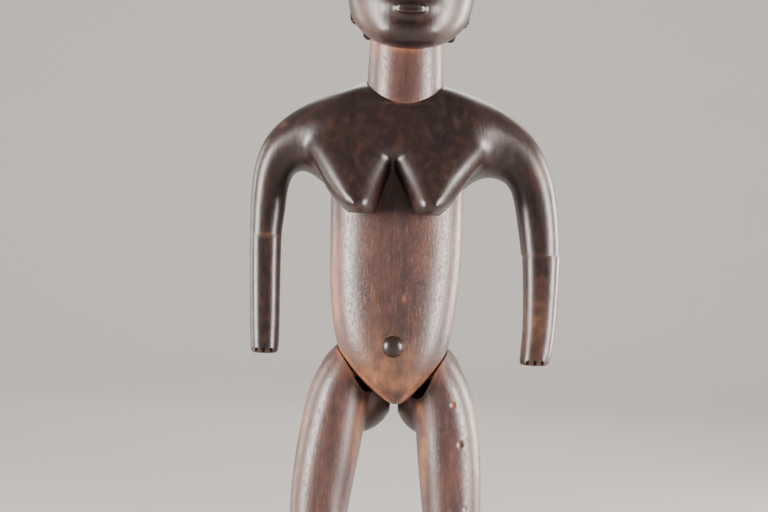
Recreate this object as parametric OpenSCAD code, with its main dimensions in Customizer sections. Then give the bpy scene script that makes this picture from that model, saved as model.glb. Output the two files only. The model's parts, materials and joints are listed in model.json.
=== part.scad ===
// Carved wooden fertility doll, a standing woman, put together from pegged pieces.
// The figure faces -Y. Its own left arm is on +X. The origin is under the middle of its outer box.

/* [Legs] */
// Height of the belly's point above the soles
leg_h = 108; // [98:1:122]
// Distance between the middles of the two ankles
stance_w = 53; // [48:1:60]
// Width of a thigh at its fullest
thigh_w = 25.2; // [21:0.2:26]
// Depth of a thigh at its fullest, front to back
thigh_d = 33; // [28:0.5:36]
// Height of the middle of the knee
knee_z = 49; // [42:1:56]
// Width of a knee
knee_w = 21.4; // [18:0.2:24]
// Width of a calf
calf_w = 21.6; // [18:0.2:25]
// Width of an ankle
ankle_w = 15; // [12:0.2:18]
// Length of a foot from heel to toes
foot_l = 40; // [34:1:46]
// Width of a foot across the toes
foot_w = 19; // [16:0.5:23]
// Height of the instep above the sole
foot_h = 13; // [10:0.5:16]
// Depth of the cuts between the toes
toe_cut = 5; // [2:0.5:8]
// Width of the cleft between the two halves of the seat
cleft_w = 3.2; // [0.4:0.2:4]
// Width of the gap between a thigh and the belly's point
belly_gap = 5.2; // [2:0.2:6]
// How far the seat stands out behind the middle of the neck
seat_reach = 28; // [25:0.5:31]

/* [Trunk] */
// Width of the chest under the shoulders
chest_w = 53.2; // [46:0.2:56]
// Width of the trunk at the navel
belly_w = 45.6; // [40:0.2:50]
// Depth of the chest, front to back
chest_d = 38; // [33:0.5:42]
// Depth of the belly, front to back
belly_d = 41; // [36:0.5:46]
// Height of the navel above the belly's point
navel_rise = 22.8; // [18:0.2:30]
// Diameter of the navel knob
navel_d = 9; // [6:0.5:12]
// How far the navel knob stands out
navel_out = 3.2; // [2:0.2:5]

/* [Shoulders and breasts] */
// Height of the edge under the breasts, above the belly's point
bust_rise = 76; // [68:1:92]
// Height above that edge of the flat on the trunk that carries the shoulders
seat_rise = 22; // [18:1:26]
// Height of the shoulders from the edge under the breasts to the nape
yoke_h = 54; // [50:1:62]
// Reach of the arm on -X, from the trunk's midline
near_reach = 59; // [56:0.5:64]
// Reach of the arm on +X, from the trunk's midline
far_reach = 65; // [60:0.5:70]
// How far the breasts stand out before the middle of the neck
bust_reach = 38; // [34:0.5:44]
// Distance between the two nipples
nipple_w = 32; // [28:0.5:34]

/* [Arms] */
// Width of an upper arm
upper_arm_w = 15.6; // [12:0.2:17]
// Width of a forearm
forearm_w = 13; // [10.8:0.2:14]
// Depth of a forearm, front to back
forearm_d = 14.6; // [12:0.2:17]
// Length from the shoulder's bend down to the seam on -X
near_upper_l = 29; // [24:0.5:34]
// Length from the shoulder's bend down to the seam on +X
far_upper_l = 33.5; // [28:0.5:38]
// Length of the forearm and hand on -X, below its seam
near_forearm_l = 46; // [40:0.5:54]
// Length of the forearm and hand on +X, below its seam
far_forearm_l = 43; // [37:0.5:51]
// Depth of the three cuts that mark the fingers
finger_cut = 1.6; // [1:0.1:3]

/* [Neck and head] */
// Diameter of the neck at the shoulders
neck_d = 31; // [28:0.5:33]
// Diameter of the neck under the jaw
neck_top_d = 29.4; // [26:0.2:31]
// Length of bare neck between the nape and the head
neck_l = 18; // [12:1:24]
// Height of the head from chin to crown
head_h = 81; // [73:1:91]
// Width of the head at the temples
head_w = 54; // [48:0.5:60]
// Depth of the head, front to back
head_d = 58; // [52:0.5:64]
// Height of a plait of hair above the skull
plait_h = 2.4; // [1.6:0.2:3.2]
// Number of plaits from ear to ear
plaits = 9; // [5:2:13]

/* [Joinery] */
// Diameter of the tenon that carries the head
tenon_d = 18; // [14:0.5:20]
// Length of that tenon
tenon_l = 20; // [14:1:26]
// Diameter of the pegs in the forearms
arm_peg_d = 5; // [4:0.5:6]
// Length of the pegs in the forearms
arm_peg_l = 20; // [14:1:26]
// Diameter of the peg through the hips
hip_peg_d = 8; // [6:0.5:10]
// Length of the peg through the hips
hip_peg_l = 46; // [42:1:50]
// Diameter of the tenon behind the navel
navel_peg_d = 5; // [4:0.5:6]
// Length of that tenon
navel_peg_l = 10; // [6:1:14]
// Clearance round every peg, tenon and pocket
fit = 0.1; // [0.05:0.05:0.3]

/* [Hidden] */

sides = 28;         // facets round a limb
round_sides = 64;   // facets round a turned surface
past = 1;           // how far a cutter runs beyond the face that it cuts
far = 200;          // size of a cutter that takes away all on one side

polished = "#2a1c1a";
worn = "#6e4233";
raw = "#a8713f";

midline_x = (near_reach - far_reach) / 2;
midline_y = (bust_reach - seat_reach) / 2;
bust_z = leg_h + bust_rise;
seat_z = bust_z + seat_rise;
nape_z = bust_z + yoke_h;
collar_z = nape_z - 10;   // the neck is straight up to here and tapers above
neck_x = 1.3;
neck_y = 1;
jaw_z = nape_z + neck_l;
chin_z = jaw_z - 7.2;
navel_z = leg_h + navel_rise;
hip_peg_z = leg_h + 13;
hip_peg_y = 2;
bend_z = bust_z + 18;
near_seam_z = bend_z - near_upper_l;
far_seam_z = bend_z - far_upper_l;
near_arm_x = -near_reach + forearm_w / 2 + 0.2;
far_arm_x = far_reach - forearm_w / 2 - 0.6;
cleft_x = 1.3;
slit_w = 0.8;        // width of the cuts between toes and between fingers
peg_y = -3.5;       // the pegs' place in the depth of the arms
navel_y = -belly_d / 2 - 1.4;   // front of the belly at the navel

// Smooth limbs from a few sections.
// A section is [x, y, z, half width, half depth, squareness]

function unit(v) = v / norm(v);

function between(a, b, c, d, t) =
    0.5 * (2 * b + (c - a) * t + (2 * a - 5 * b + 4 * c - d) * t * t
    + (3 * b - a - 3 * c + d) * t * t * t);

function eased(keys, steps) =
    let (last = len(keys) - 1)
    [for (i = [0:last - 1], s = [0:steps - 1])
        between(keys[max(i - 1, 0)], keys[i], keys[i + 1], keys[min(i + 2, last)], s / steps),
     keys[last]];

function spot(key) = [key[0], key[1], key[2]];

function heading(keys, i) =
    unit(spot(keys[min(i + 1, len(keys) - 1)]) - spot(keys[max(i - 1, 0)]));

function ring(key, along, across, swell, count) =
    let (v = unit(across - (across * along) * along),
         u = cross(v, along),
         power = 2 / key[5])
    [for (i = [0:count - 1])
        let (c = cos(360 * i / count), s = sin(360 * i / count))
        spot(key)
        + u * (key[3] + swell) * sign(c) * pow(abs(c), power)
        + v * (key[4] + swell) * sign(s) * pow(abs(s), power)];

module limb(sections, across = [0, 1, 0], swell = 0, steps = 4, count = sides, level = false) {
    keys = eased(sections, steps);
    rings = len(keys);
    points = [for (i = [0:rings - 1])
        each ring(keys[i], level ? [0, 0, 1] : heading(keys, i), across, swell, count)];
    walls = [for (i = [0:rings - 2], j = [0:count - 1])
        let (a = i * count + j, b = i * count + (j + 1) % count)
        each [[a, a + count, b + count], [a, b + count, b]]];
    foot = [for (j = [0:count - 1]) j];
    crown = [for (j = [count - 1:-1:0]) (rings - 1) * count + j];
    polyhedron(points = points, faces = concat(walls, [foot, crown]));
}

// Several faceted solids made into one
module carved() {
    resize([0, 0, 0]) children();
}

module placed() {
    translate([midline_x, midline_y, 0]) children();
}

// A section given by its front and back instead of its middle
function slab(x, z, half_w, front, back, square = 2.2) =
    [x, (front + back) / 2, z, half_w, (back - front) / 2, square];

// gape widens the point of the belly, where the thighs stand clear of it
module torso(swell = 0, gape = 0) {
    chest = chest_w / 2;
    belly = belly_w / 2;
    front = -chest_d / 2;
    back = chest_d / 2;
    belly_front = -belly_d / 2 - 2;
    belly_back = belly_d / 2 - 2;
    limb([
        slab(1.8, leg_h - 0.4, 1 + gape, -13 - gape, -9, 2),
        slab(1.6, leg_h + 1.6, belly * 0.19 + gape * 0.95, -16 - gape, -2, 2),
        slab(1, leg_h + 5.3, belly * 0.4 + gape * 0.75, -18.5 - gape, 5, 2),
        slab(0.5, leg_h + 10.3, belly * 0.64 + gape * 0.35, belly_front + 2, 11, 2.1),
        slab(-0.1, leg_h + 19.3, belly * 0.98, belly_front, belly_back - 2, 2.2),
        slab(-0.3, leg_h + 36.8, (belly + chest) / 2 + 0.5, belly_front + 1.2, belly_back, 2.25),
        slab(-0.1, leg_h + 52.8, chest * 0.995, front - 0.8, back - 0.4, 2.3),
        slab(0, bust_z - 11, chest, front, back, 2.3),
        slab(-0.4, bust_z + 7, chest, front, back + 0.5, 2.3),
        slab(-0.4, seat_z, chest * 0.97, front + 0.5, back + 0.5, 2.3)
    ], swell = swell, level = true);
}

module trunk() {
    color(worn) placed() difference() {
        union() {
            carved() torso();
            translate([neck_x, neck_y, seat_z - past])
                cylinder(d = neck_d, h = collar_z - seat_z + past, $fn = round_sides);
            neck_taper();
            translate([neck_x, neck_y, jaw_z - past])
                cylinder(d = tenon_d, h = tenon_l + past, $fn = round_sides);
        }
        hip_bore(hip_peg_l + 2 * past);
        navel_bore();
    }
}

// Upper neck, which the head's pocket fits over
module neck_taper(swell = 0) {
    translate([neck_x, neck_y, collar_z])
        cylinder(d1 = neck_d + 2 * swell, d2 = neck_top_d + 2 * swell, h = jaw_z - collar_z,
                 $fn = round_sides);
}

module hip_bore(length) {
    translate([-length / 2, hip_peg_y, hip_peg_z]) rotate([0, 90, 0])
        cylinder(d = hip_peg_d + 2 * fit, h = length, $fn = round_sides);
}

module navel_bore() {
    translate([0.2, navel_y - 3 * past, navel_z]) rotate([-90, 0, 0])
        cylinder(d = navel_peg_d + 2 * fit, h = navel_peg_l + 3 * past + fit, $fn = round_sides);
    translate([0.2, navel_y - 5 * past, navel_z]) rotate([-90, 0, 0])
        cylinder(d = navel_d + 2 * fit, h = 5 * past, $fn = round_sides);
}

module navel_plug() {
    color(polished) placed() translate([0.2, navel_y, navel_z]) rotate([-90, 0, 0]) {
        cylinder(d = navel_peg_d, h = navel_peg_l, $fn = round_sides);
        rotate_extrude($fn = round_sides) intersection() {
            translate([0, -0.6]) scale([navel_d / 2, navel_out]) circle(1, $fn = round_sides);
            translate([0, -navel_out * 2]) square([navel_d, navel_out * 2]);
        }
    }
}

module hip_dowel() {
    color(raw) placed() translate([-hip_peg_l / 2, hip_peg_y, hip_peg_z]) rotate([0, 90, 0])
        cylinder(d = hip_peg_d, h = hip_peg_l, $fn = round_sides);
}

// side is -1 for the leg on -X and 1 for the leg on +X
module leg(side) {
    hip_top = leg_h + 20;
    w = thigh_w / 2;
    d = thigh_d / 2;
    ankle_x = side * stance_w / 2;
    knee_x = ankle_x - 0.8;
    heel_y = 14;
    difference() {
        carved() difference() {
            union() {
                limb([
                    [side * 10.4, 3, hip_top + 4, 7, 10, 2],
                    [side * 13, 3.4, hip_top, w * 0.74, d * 0.86, 2.1],
                    [side * 17, 3.6, hip_top - 8, w * 0.9, d, 2.1],
                    [side * 20.9, 3.4, leg_h + 3.6, w * 0.97, d * 1.02, 2.1],
                    [side * 22.9, 2.6, leg_h - 8, w, d * 0.97, 2.1],
                    [side * (stance_w / 2 - 2), 0.5, leg_h - 22, w * 0.99, d * 0.88, 2.1],
                    [knee_x, -1.5, knee_z + 15, (w + knee_w / 2) / 2, 13, 2.1],
                    [knee_x, -3, knee_z, knee_w / 2, 12.6, 2.2],
                    [ankle_x, -0.5, knee_z - 14, calf_w / 2, 12.6, 2.1],
                    [ankle_x, 1, foot_h + 10, ankle_w / 2 + 1.2, 9.4, 2.1],
                    [ankle_x, 1, foot_h / 2, ankle_w / 2, 8.4, 2.1]
                ]);
                translate([side * 15.2 + 0.6, seat_reach - 15, leg_h + 6])
                    scale([16, 15, 19]) sphere(1, $fn = 36);
                limb([
                    [ankle_x, heel_y, 3, 5, 3.6, 2],
                    [ankle_x, heel_y - 2.4, 3.4, 7.4, 6.4, 2.2],
                    [ankle_x, heel_y - 12, 4, ankle_w / 2 + 0.8, foot_h - 4, 2.2],
                    [ankle_x, heel_y - foot_l * 0.62, 2.6, foot_w / 2 - 0.4, foot_h * 0.5, 2.4],
                    [ankle_x, heel_y - foot_l + 4, 2, foot_w / 2, 4.6, 2.6],
                    [ankle_x, heel_y - foot_l, 1.6, foot_w / 2 - 2.4, 2.4, 2.6]
                ], across = [0, 0, 1], count = 24, steps = 3);
            }
            torso(swell = fit);
            torso(swell = fit, gape = belly_gap);
            translate([-far / 2, -far / 2, -far]) cube([far, far, far]);
            translate([side > 0 ? cleft_x + cleft_w / 2 - far : cleft_x - cleft_w / 2, -far / 2, -past])
                cube([far, far, far]);
            for (i = [-1.5:1.5])
                translate([ankle_x + i * foot_w / 5, heel_y - foot_l, foot_h / 2])
                    cube([slit_w, 2 * toe_cut, foot_h - 3], center = true);
        }
        hip_bore(hip_peg_l + 2 * fit);
    }
}

module leg_left() {
    color(worn) placed() leg(1);
}

module leg_right() {
    color(worn) placed() leg(-1);
}

// lean is how far the upper arm stands in from the forearm below it
function arm_keys(side, arm_x, seam_z, lean) = [
    [side * 14, 1, bend_z + 9.2, 24.4, 15, 2.1],
    [side * 22, -0.6, bend_z + 9.6, 22, 20, 2.1],
    [side * (chest_w / 2 + 3.6), -1, bend_z + 10.6, 17.4, 19, 2.1],
    [side * (chest_w / 2 + 12), -0.6, bend_z + 10.8, 13, 14.6, 2.1],
    [side * (abs(arm_x) - lean - 6.4), -1, bend_z + 6.4, 10.8, 11.8, 2.1],
    [side * (abs(arm_x) - lean - 2), -1.2, bend_z - 0.4, upper_arm_w / 2 + 1.6, 10.2, 2.1],
    [arm_x - side * lean, -1.6, bend_z - 8, upper_arm_w / 2 + 0.6, 9.4, 2.1],
    [arm_x - side * lean * 0.5, -2.2, (bend_z - 8 + seam_z) / 2, upper_arm_w / 2, 8.4, 2.1],
    [arm_x, peg_y, seam_z, forearm_w / 2 + 0.3, forearm_d / 2 + 0.3, 2.1],
    [arm_x, peg_y - 0.5, seam_z - 4, forearm_w / 2, forearm_d / 2, 2.1]
];

// The front of the chest is one slope from the foot of the neck down to the nipples
function chest_front(rise) =
    -neck_d / 2 - (bust_reach - neck_d / 2) * (yoke_h - 11 - rise) / (yoke_h - 13.5);

// A section of a breast by its inner and outer reach from the nipple
function cup(side, rise, inner, outer, front) =
    slab(side * (nipple_w / 2 + (outer - inner) / 2) - 0.9, bust_z + rise,
         (inner + outer) / 2, front, -4, 2.1);

module breast(side) {
    limb([
        cup(side, -1.2, 8.2, 2, chest_front(2.4) + 2.6),
        cup(side, 0, 8.6, 3.4, chest_front(2.4) + 1),
        cup(side, 2.4, 9.2, 5.9, chest_front(2.4)),
        cup(side, 6, 10.4, 9, chest_front(6)),
        cup(side, 12, 12.8, 12.1, chest_front(12)),
        cup(side, 17, 14.4, 15.4, chest_front(17)),
        cup(side, 22, 15.6, 17.6, chest_front(22)),
        cup(side, 28, 16.4, 18.6, chest_front(28) + 1),
        cup(side, 34, 17, 17, chest_front(34) + 5)
    ], level = true, steps = 3);
}

module shoulder_yoke() {
    slope = 15.5;    // rise of the lower edge from breast to back, in degrees
    back = chest_d / 2;
    color(polished) placed() difference() {
        carved() difference() {
            union() {
                limb([
                    slab(0.4, bust_z - past, chest_w / 2 - 6, -back + 2, back - 2),
                    slab(0.4, bust_z + 6, chest_w / 2 - 6, -back + 2, back - 2),
                    slab(0.4, bust_z + 9, chest_w / 2 - 0.6, -back + 1, back + 1, 2.9),
                    slab(0.4, bust_z + 13, chest_w / 2 + 1.6, -back, back + 3, 2.9),
                    slab(0.4, bust_z + 18, chest_w / 2 + 4, -back - 3, back + 4, 2.9),
                    slab(0.4, bust_z + 22.4, chest_w / 2 + 5, chest_front(23), back + 4, 2.9),
                    slab(0.4, bust_z + 31, chest_w / 2 + 5.4, chest_front(31), back + 4, 2.9),
                    slab(0.4, nape_z - 17, chest_w / 2 + 5, chest_front(yoke_h - 17), back + 3, 2.9),
                    slab(0.6, nape_z - 11, neck_d / 2 + 14, chest_front(yoke_h - 11), neck_d / 2 + 5, 2.9),
                    slab(0.8, nape_z - 6, neck_d / 2 + 10, -neck_d / 2 + 6, neck_d / 2 + 3.6, 2.9),
                    slab(1, nape_z - 1.6, neck_d / 2 + 2, -1, neck_d / 2 + 2, 2.6),
                    slab(neck_x, nape_z, 8, 5, neck_d / 2 - 2)
                ], level = true, steps = 3);
                limb(arm_keys(-1, near_arm_x, near_seam_z, 0.6), steps = 3);
                limb(arm_keys(1, far_arm_x, far_seam_z, 3.4), steps = 3);
                breast(-1);
                breast(1);
            }
            intersection() {
                torso(swell = fit);
                translate([-far / 2, -far / 2, -far + seat_z]) cube([far, far, far]);
            }
            translate([0, -back - 5, bust_z]) rotate([slope, 0, 0])
                translate([-chest_w / 2 - 4, -past, -far / 4]) cube([chest_w + 8, far, far / 4]);
            below_seam(near_arm_x, near_seam_z);
            below_seam(far_arm_x, far_seam_z);
        }
        translate([neck_x, neck_y, seat_z - past])
            cylinder(d = neck_d + 2 * fit, h = far, $fn = round_sides);
        peg_bore(near_arm_x, near_seam_z);
        peg_bore(far_arm_x, far_seam_z);
    }
}

module below_seam(arm_x, seam_z) {
    translate([arm_x - forearm_w, -far / 2, seam_z - far / 8])
        cube([2 * forearm_w, far, far / 8]);
}

module peg_bore(arm_x, seam_z) {
    translate([arm_x, peg_y, seam_z - arm_peg_l / 2 - fit])
        cylinder(d = arm_peg_d + 2 * fit, h = arm_peg_l + 2 * fit, $fn = round_sides);
}

module forearm(side, arm_x, seam_z, length, bow) {
    w = forearm_w / 2;
    d = forearm_d / 2;
    hand_x = arm_x - side * bow;
    hand_z = seam_z - length;
    finger_w = (2 * d + 2) / 4;
    difference() {
        carved() difference() {
            limb([
                [arm_x, peg_y + 0.5, seam_z + 4, w + 0.6, d + 0.6, 2.1],
                [arm_x, peg_y, seam_z, w + 0.3, d + 0.3, 2.1],
                [arm_x, peg_y - 1, seam_z - length * 0.3, w, d, 2.1],
                [arm_x - side * bow * 0.2, peg_y - 3, seam_z - length * 0.62, w * 0.97, d * 0.96, 2.2],
                [hand_x, peg_y - 5.5, hand_z + 5, w * 0.95, d + 0.6, 2.6],
                [hand_x, peg_y - 6.2, hand_z, w * 0.86, d, 2.8]
            ]);
            translate([arm_x - far / 4, -far / 2, seam_z]) cube([far / 2, far, far / 8]);
            for (i = [-1:1])
                translate([hand_x, peg_y - 6 + i * finger_w, hand_z])
                    rotate([0, 45, 0])
                        cube([finger_cut * 1.4, slit_w, finger_cut * 1.4], center = true);
            for (i = [-1:1])
                translate([hand_x, peg_y - 6 + i * finger_w, hand_z])
                    cube([far / 10, slit_w, finger_cut * 2], center = true);
        }
        peg_bore(arm_x, seam_z);
    }
}

module forearm_right() {
    color(polished) placed() forearm(-1, near_arm_x, near_seam_z, near_forearm_l, 1.3);
}

module forearm_left() {
    color(polished) placed() forearm(1, far_arm_x, far_seam_z, far_forearm_l, 1.7);
}

module forearm_dowel(arm_x, seam_z) {
    translate([arm_x, peg_y, seam_z - arm_peg_l / 2])
        cylinder(d = arm_peg_d, h = arm_peg_l, $fn = round_sides);
}

module forearm_dowel_right() {
    color(raw) placed() forearm_dowel(near_arm_x, near_seam_z);
}

module forearm_dowel_left() {
    color(raw) placed() forearm_dowel(far_arm_x, far_seam_z);
}

head_x = 2.4;
face_y = -head_d / 2 + 1;
back_y = head_d / 2 + 1;

function skull_key(rise, share, front, back, square = 2.15) =
    slab(head_x, chin_z + rise, share * head_w / 2, face_y + front, back_y - back, square);

module skull() {
    limb([
        skull_key(0, 0.17, 8, head_d * 0.74, 2),
        skull_key(0.8, 0.34, 5, head_d * 0.62, 2),
        skull_key(2.6, 0.51, 3, head_d * 0.46, 2.1),
        skull_key(6, 0.65, 1.6, head_d * 0.32),
        skull_key(10, 0.79, 0.8, head_d * 0.2),
        skull_key(16, 0.895, 0.6, head_d * 0.12),
        skull_key(28, 0.97, 1.6, 4),
        skull_key(head_h - 38, 0.98, 1.8, 2),
        skull_key(head_h - 24, 0.94, 2.4, 2),
        skull_key(head_h - 12, 0.78, 8, 7),
        skull_key(head_h - 6, 0.46, 17, 16),
        skull_key(head_h - 2 * plait_h, 0.12, 26, 25, 2)
    ], level = true, steps = 3);
}

// Rows of hair run side by side from the brow over the crown to the nape
module hair() {
    reach = head_w / 2;
    turns = plaits * 4;
    middle_z = chin_z + head_h / 2;
    intersection() {
        limb([for (i = [0:turns])
            let (across = -1 + 2 * i / turns,
                 share = pow(max(1 - pow(abs(across), 2.6), 0.02), 1 / 2.6),
                 row = plait_h * abs(sin(180 * i / 4)))
            [head_x + reach * across, 3, middle_z,
             head_h / 2 * share - plait_h + row, (head_d / 2 - 1) * share - plait_h + row, 2.2]
        ], steps = 1, count = 36);
        translate([0, -22, chin_z + head_h * 0.83]) rotate([24, 0, 0])
            translate([-far / 2, 0, -far / 2]) cube([far, far, far]);
    }
}

module head() {
    color(polished) placed() difference() {
        carved() union() {
            skull();
            hair();
            limb([
                [head_x - 0.4, face_y + 1, chin_z + 24.5, 4, 2, 2],
                [head_x - 0.4, face_y - 1, chin_z + 28, 5, 3.4, 2],
                [head_x - 0.4, face_y, chin_z + 34, 3.2, 3, 2],
                [head_x - 0.4, face_y + 2, chin_z + 42, 2.6, 2.4, 2]
            ], count = 16, level = true);
            for (lip = [13.4, 17])
                limb([
                    [head_x - 7.2, face_y + 2.4, chin_z + lip, 0.9, 1.2, 2],
                    [head_x - 0.6, face_y + 0.6, chin_z + lip + 0.3, 1.6, 1.8, 2],
                    [head_x + 6, face_y + 2.4, chin_z + lip, 0.9, 1.2, 2]
                ], count = 12);
            for (side = [-1, 1])
                translate([head_x + side * (head_w / 2 - 1.4), 1, chin_z + 34])
                    scale([2.6, 4.6, 8]) sphere(1, $fn = 20);
        }
        neck_taper(swell = fit);
        translate([neck_x, neck_y, jaw_z - past])
            cylinder(d = tenon_d + 2 * fit, h = tenon_l + past + 2 * fit, $fn = round_sides);
    }
}

head();
trunk();
shoulder_yoke();
forearm_left();
forearm_right();
forearm_dowel_left();
forearm_dowel_right();
leg_left();
leg_right();
hip_dowel();
navel_plug();
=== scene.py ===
import json
import math

import bpy
import bmesh
import numpy as np
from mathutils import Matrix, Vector

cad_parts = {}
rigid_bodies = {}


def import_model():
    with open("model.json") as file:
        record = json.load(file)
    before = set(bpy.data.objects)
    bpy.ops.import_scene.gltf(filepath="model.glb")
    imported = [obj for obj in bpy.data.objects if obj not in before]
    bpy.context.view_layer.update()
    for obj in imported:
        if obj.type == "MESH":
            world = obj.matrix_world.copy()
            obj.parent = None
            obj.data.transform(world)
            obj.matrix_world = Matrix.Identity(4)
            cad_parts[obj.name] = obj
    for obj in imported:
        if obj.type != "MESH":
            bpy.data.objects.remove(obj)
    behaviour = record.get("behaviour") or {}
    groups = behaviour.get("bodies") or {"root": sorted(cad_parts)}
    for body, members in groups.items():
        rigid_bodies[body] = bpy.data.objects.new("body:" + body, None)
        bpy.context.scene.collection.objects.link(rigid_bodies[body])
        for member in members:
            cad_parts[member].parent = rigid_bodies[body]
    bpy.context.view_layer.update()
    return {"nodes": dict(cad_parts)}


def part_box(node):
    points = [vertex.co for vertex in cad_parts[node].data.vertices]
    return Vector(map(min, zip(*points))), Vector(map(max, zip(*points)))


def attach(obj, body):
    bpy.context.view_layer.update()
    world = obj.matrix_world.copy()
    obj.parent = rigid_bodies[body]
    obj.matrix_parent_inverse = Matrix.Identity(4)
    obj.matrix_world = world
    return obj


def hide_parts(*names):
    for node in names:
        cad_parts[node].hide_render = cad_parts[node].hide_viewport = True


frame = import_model()
print("frame loaded")

mm = 0.001
trunkLow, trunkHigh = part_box("trunk")
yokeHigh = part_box("shoulder_yoke")[1]
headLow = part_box("head")[0]
middle = Vector(((trunkLow.x + trunkHigh.x) / 2 + 0.4 * mm, (trunkLow.y + trunkHigh.y) / 2 + 1.5 * mm, 0))
crotch = trunkLow.z / mm        # heights in millimetres above the soles
nape = yokeHigh.z / mm
chin = headLow.z / mm
bust = crotch + 76.4            # the edge under the breasts
clearance = 0.15                # air between a carved pocket and what sits in it
neckX, neckY = 1.3, 1.0         # the neck stands a little off the middle


# bench tools

def pick(*pieces):
    bpy.ops.object.select_all(action="DESELECT")
    for piece in pieces:
        piece.select_set(True)
    bpy.context.view_layer.objects.active = pieces[0]
    return pieces[0]


def place(x, y, z):
    return middle + Vector((x, y, z)) * mm


def applyAll(piece):
    pick(piece)
    for modifier in list(piece.modifiers):
        bpy.ops.object.modifier_apply(modifier=modifier.name)
    return piece


def rounded(piece, levels):
    modifier = piece.modifiers.new("round", "SUBSURF")
    modifier.levels = modifier.render_levels = levels
    return applyAll(piece)


def settle(piece):
    pick(piece)
    bpy.ops.object.transform_apply(location=True, rotation=True, scale=True)
    return piece


def limb(name, rings, square=2.15, sides=32, levels=2):
    # each ring is x, y, z, half width, half depth, lean to the side, nod to the front
    bpy.ops.object.select_all(action="DESELECT")
    bpy.ops.mesh.primitive_circle_add(vertices=sides, radius=1, fill_type="NGON")
    piece = bpy.context.object
    piece.name = name
    for corner in piece.data.vertices:
        corner.co.x, corner.co.y = [math.copysign(abs(c) ** (2 / square), c) for c in corner.co.xy]
    bpy.ops.object.mode_set(mode="EDIT")
    bpy.ops.mesh.select_all(action="SELECT")
    was = (0, 0, 0, 1000, 1000, 0, 0)
    spot = Vector((0, 0, 0))
    for number, ring in enumerate(rings):
        ring = tuple(ring) + (0,) * (7 - len(ring))
        there = place(*ring[:3])
        step = there - spot
        if number:
            bpy.ops.mesh.extrude_region_move(TRANSFORM_OT_translate={"value": step})
        else:
            bpy.ops.transform.translate(value=step)
        turn(there, -was[5], -was[6])
        bpy.ops.transform.resize(value=(ring[3] / was[3], ring[4] / was[4], 1), center_override=there)
        turn(there, ring[5], ring[6], back=False)
        was, spot = ring, there
    bpy.ops.mesh.select_all(action="SELECT")
    bpy.ops.mesh.normals_make_consistent(inside=False)
    bpy.ops.object.mode_set(mode="OBJECT")
    settle(piece)
    return rounded(piece, levels)


def turn(there, lean, nod, back=True):
    # undoing a turn goes nod first, then lean
    turns = [("X", nod), ("Y", lean)] if back else [("Y", lean), ("X", nod)]
    for axis, angle in turns:
        if angle:
            bpy.ops.transform.rotate(value=-math.radians(angle), orient_axis=axis,
                                     orient_type="GLOBAL", center_override=there)


def slab(x, z, halfWidth, front, back):
    # a level ring given by its front and back
    return (x, (front + back) / 2, z, halfWidth, (back - front) / 2)


def ball(x, y, z, radii, segments=32):
    bpy.ops.object.select_all(action="DESELECT")
    bpy.ops.mesh.primitive_uv_sphere_add(segments=segments, ring_count=segments // 2,
                                         radius=1, location=place(x, y, z))
    bpy.ops.transform.resize(value=[r * mm for r in radii])
    return settle(bpy.context.object)


def box(x, y, z, size):
    bpy.ops.object.select_all(action="DESELECT")
    bpy.ops.mesh.primitive_cube_add(size=1, location=place(x, y, z))
    bpy.context.object.scale = [s * mm for s in size]
    return settle(bpy.context.object)


def rod(x, y, z, diameter, length, lean=(0, 0, 0)):
    bpy.ops.object.select_all(action="DESELECT")
    bpy.ops.mesh.primitive_cylinder_add(vertices=64, radius=diameter / 2 * mm, depth=length * mm,
                                        location=place(x, y, z), rotation=[math.radians(a) for a in lean])
    return settle(bpy.context.object)


def fuse(name, parts, voxel, passes):
    # the parts are joined and skinned as one, and the skin is sanded
    piece = pick(*parts)
    if len(parts) > 1:
        bpy.ops.object.join()
    piece.name = piece.data.name = name
    skin = piece.modifiers.new("skin", "REMESH")
    skin.mode = "VOXEL"
    skin.voxel_size = voxel * mm
    applyAll(piece)
    return sanded(piece, passes)


def sanded(piece, passes):
    sand = piece.modifiers.new("sand", "SMOOTH")
    sand.factor = 0.5
    sand.iterations = passes
    return applyAll(piece)


def soften(piece, spots, passes):
    # sands only round the given spots: x, y, z, reach
    where = points(piece)
    group = piece.vertex_groups.new(name="soft")
    share = np.zeros(len(where))
    for x, y, z, reach in spots:
        share = np.maximum(share, fade(np.sqrt((((where - (x, y, z)) / reach) ** 2).sum(1))))
    for step in range(1, 9):
        chosen = np.flatnonzero((share > (step - 1) / 8) & (share <= step / 8))
        group.add([int(n) for n in chosen], step / 8, "REPLACE")
    sand = piece.modifiers.new("sand", "SMOOTH")
    sand.factor = 0.6
    sand.iterations = passes
    sand.vertex_group = "soft"
    applyAll(piece)
    piece.vertex_groups.clear()


def cut(piece, cutter):
    saw = piece.modifiers.new("saw", "BOOLEAN")
    saw.operation = "DIFFERENCE"
    saw.solver = "EXACT"
    saw.object = cutter
    applyAll(piece)
    bpy.data.objects.remove(cutter)


def points(piece):
    spots = np.empty(len(piece.data.vertices) * 3)
    piece.data.vertices.foreach_get("co", spots)
    return (spots.reshape(-1, 3) - np.array(middle)) / mm


def setPoints(piece, spots):
    piece.data.vertices.foreach_set("co", (spots * mm + np.array(middle)).ravel())
    piece.data.update()


def fade(distance):
    # 1 at the middle, 0 from the rim outwards, smooth between
    t = np.clip(1 - distance, 0, 1)
    return t * t * (3 - 2 * t)


def press(piece, x, y, z, reach, push):
    # moves the surface round a spot by push, fading out over reach on each axis
    spots = points(piece)
    away = np.sqrt((((spots - (x, y, z)) / reach) ** 2).sum(1))
    setPoints(piece, spots + fade(away)[:, None] * np.array(push))


def mark(piece, name, spots):
    # paints soft spots into an attribute: x, y, z, reach, strength
    shade = np.zeros(len(piece.data.vertices))
    where = points(piece)
    for x, y, z, reach, strength in spots:
        away = np.sqrt((((where - (x, y, z)) / reach) ** 2).sum(1))
        shade = np.maximum(shade, fade(away) * strength)
    piece.data.attributes.new(name, "FLOAT", "POINT").data.foreach_set("value", shade)


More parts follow.
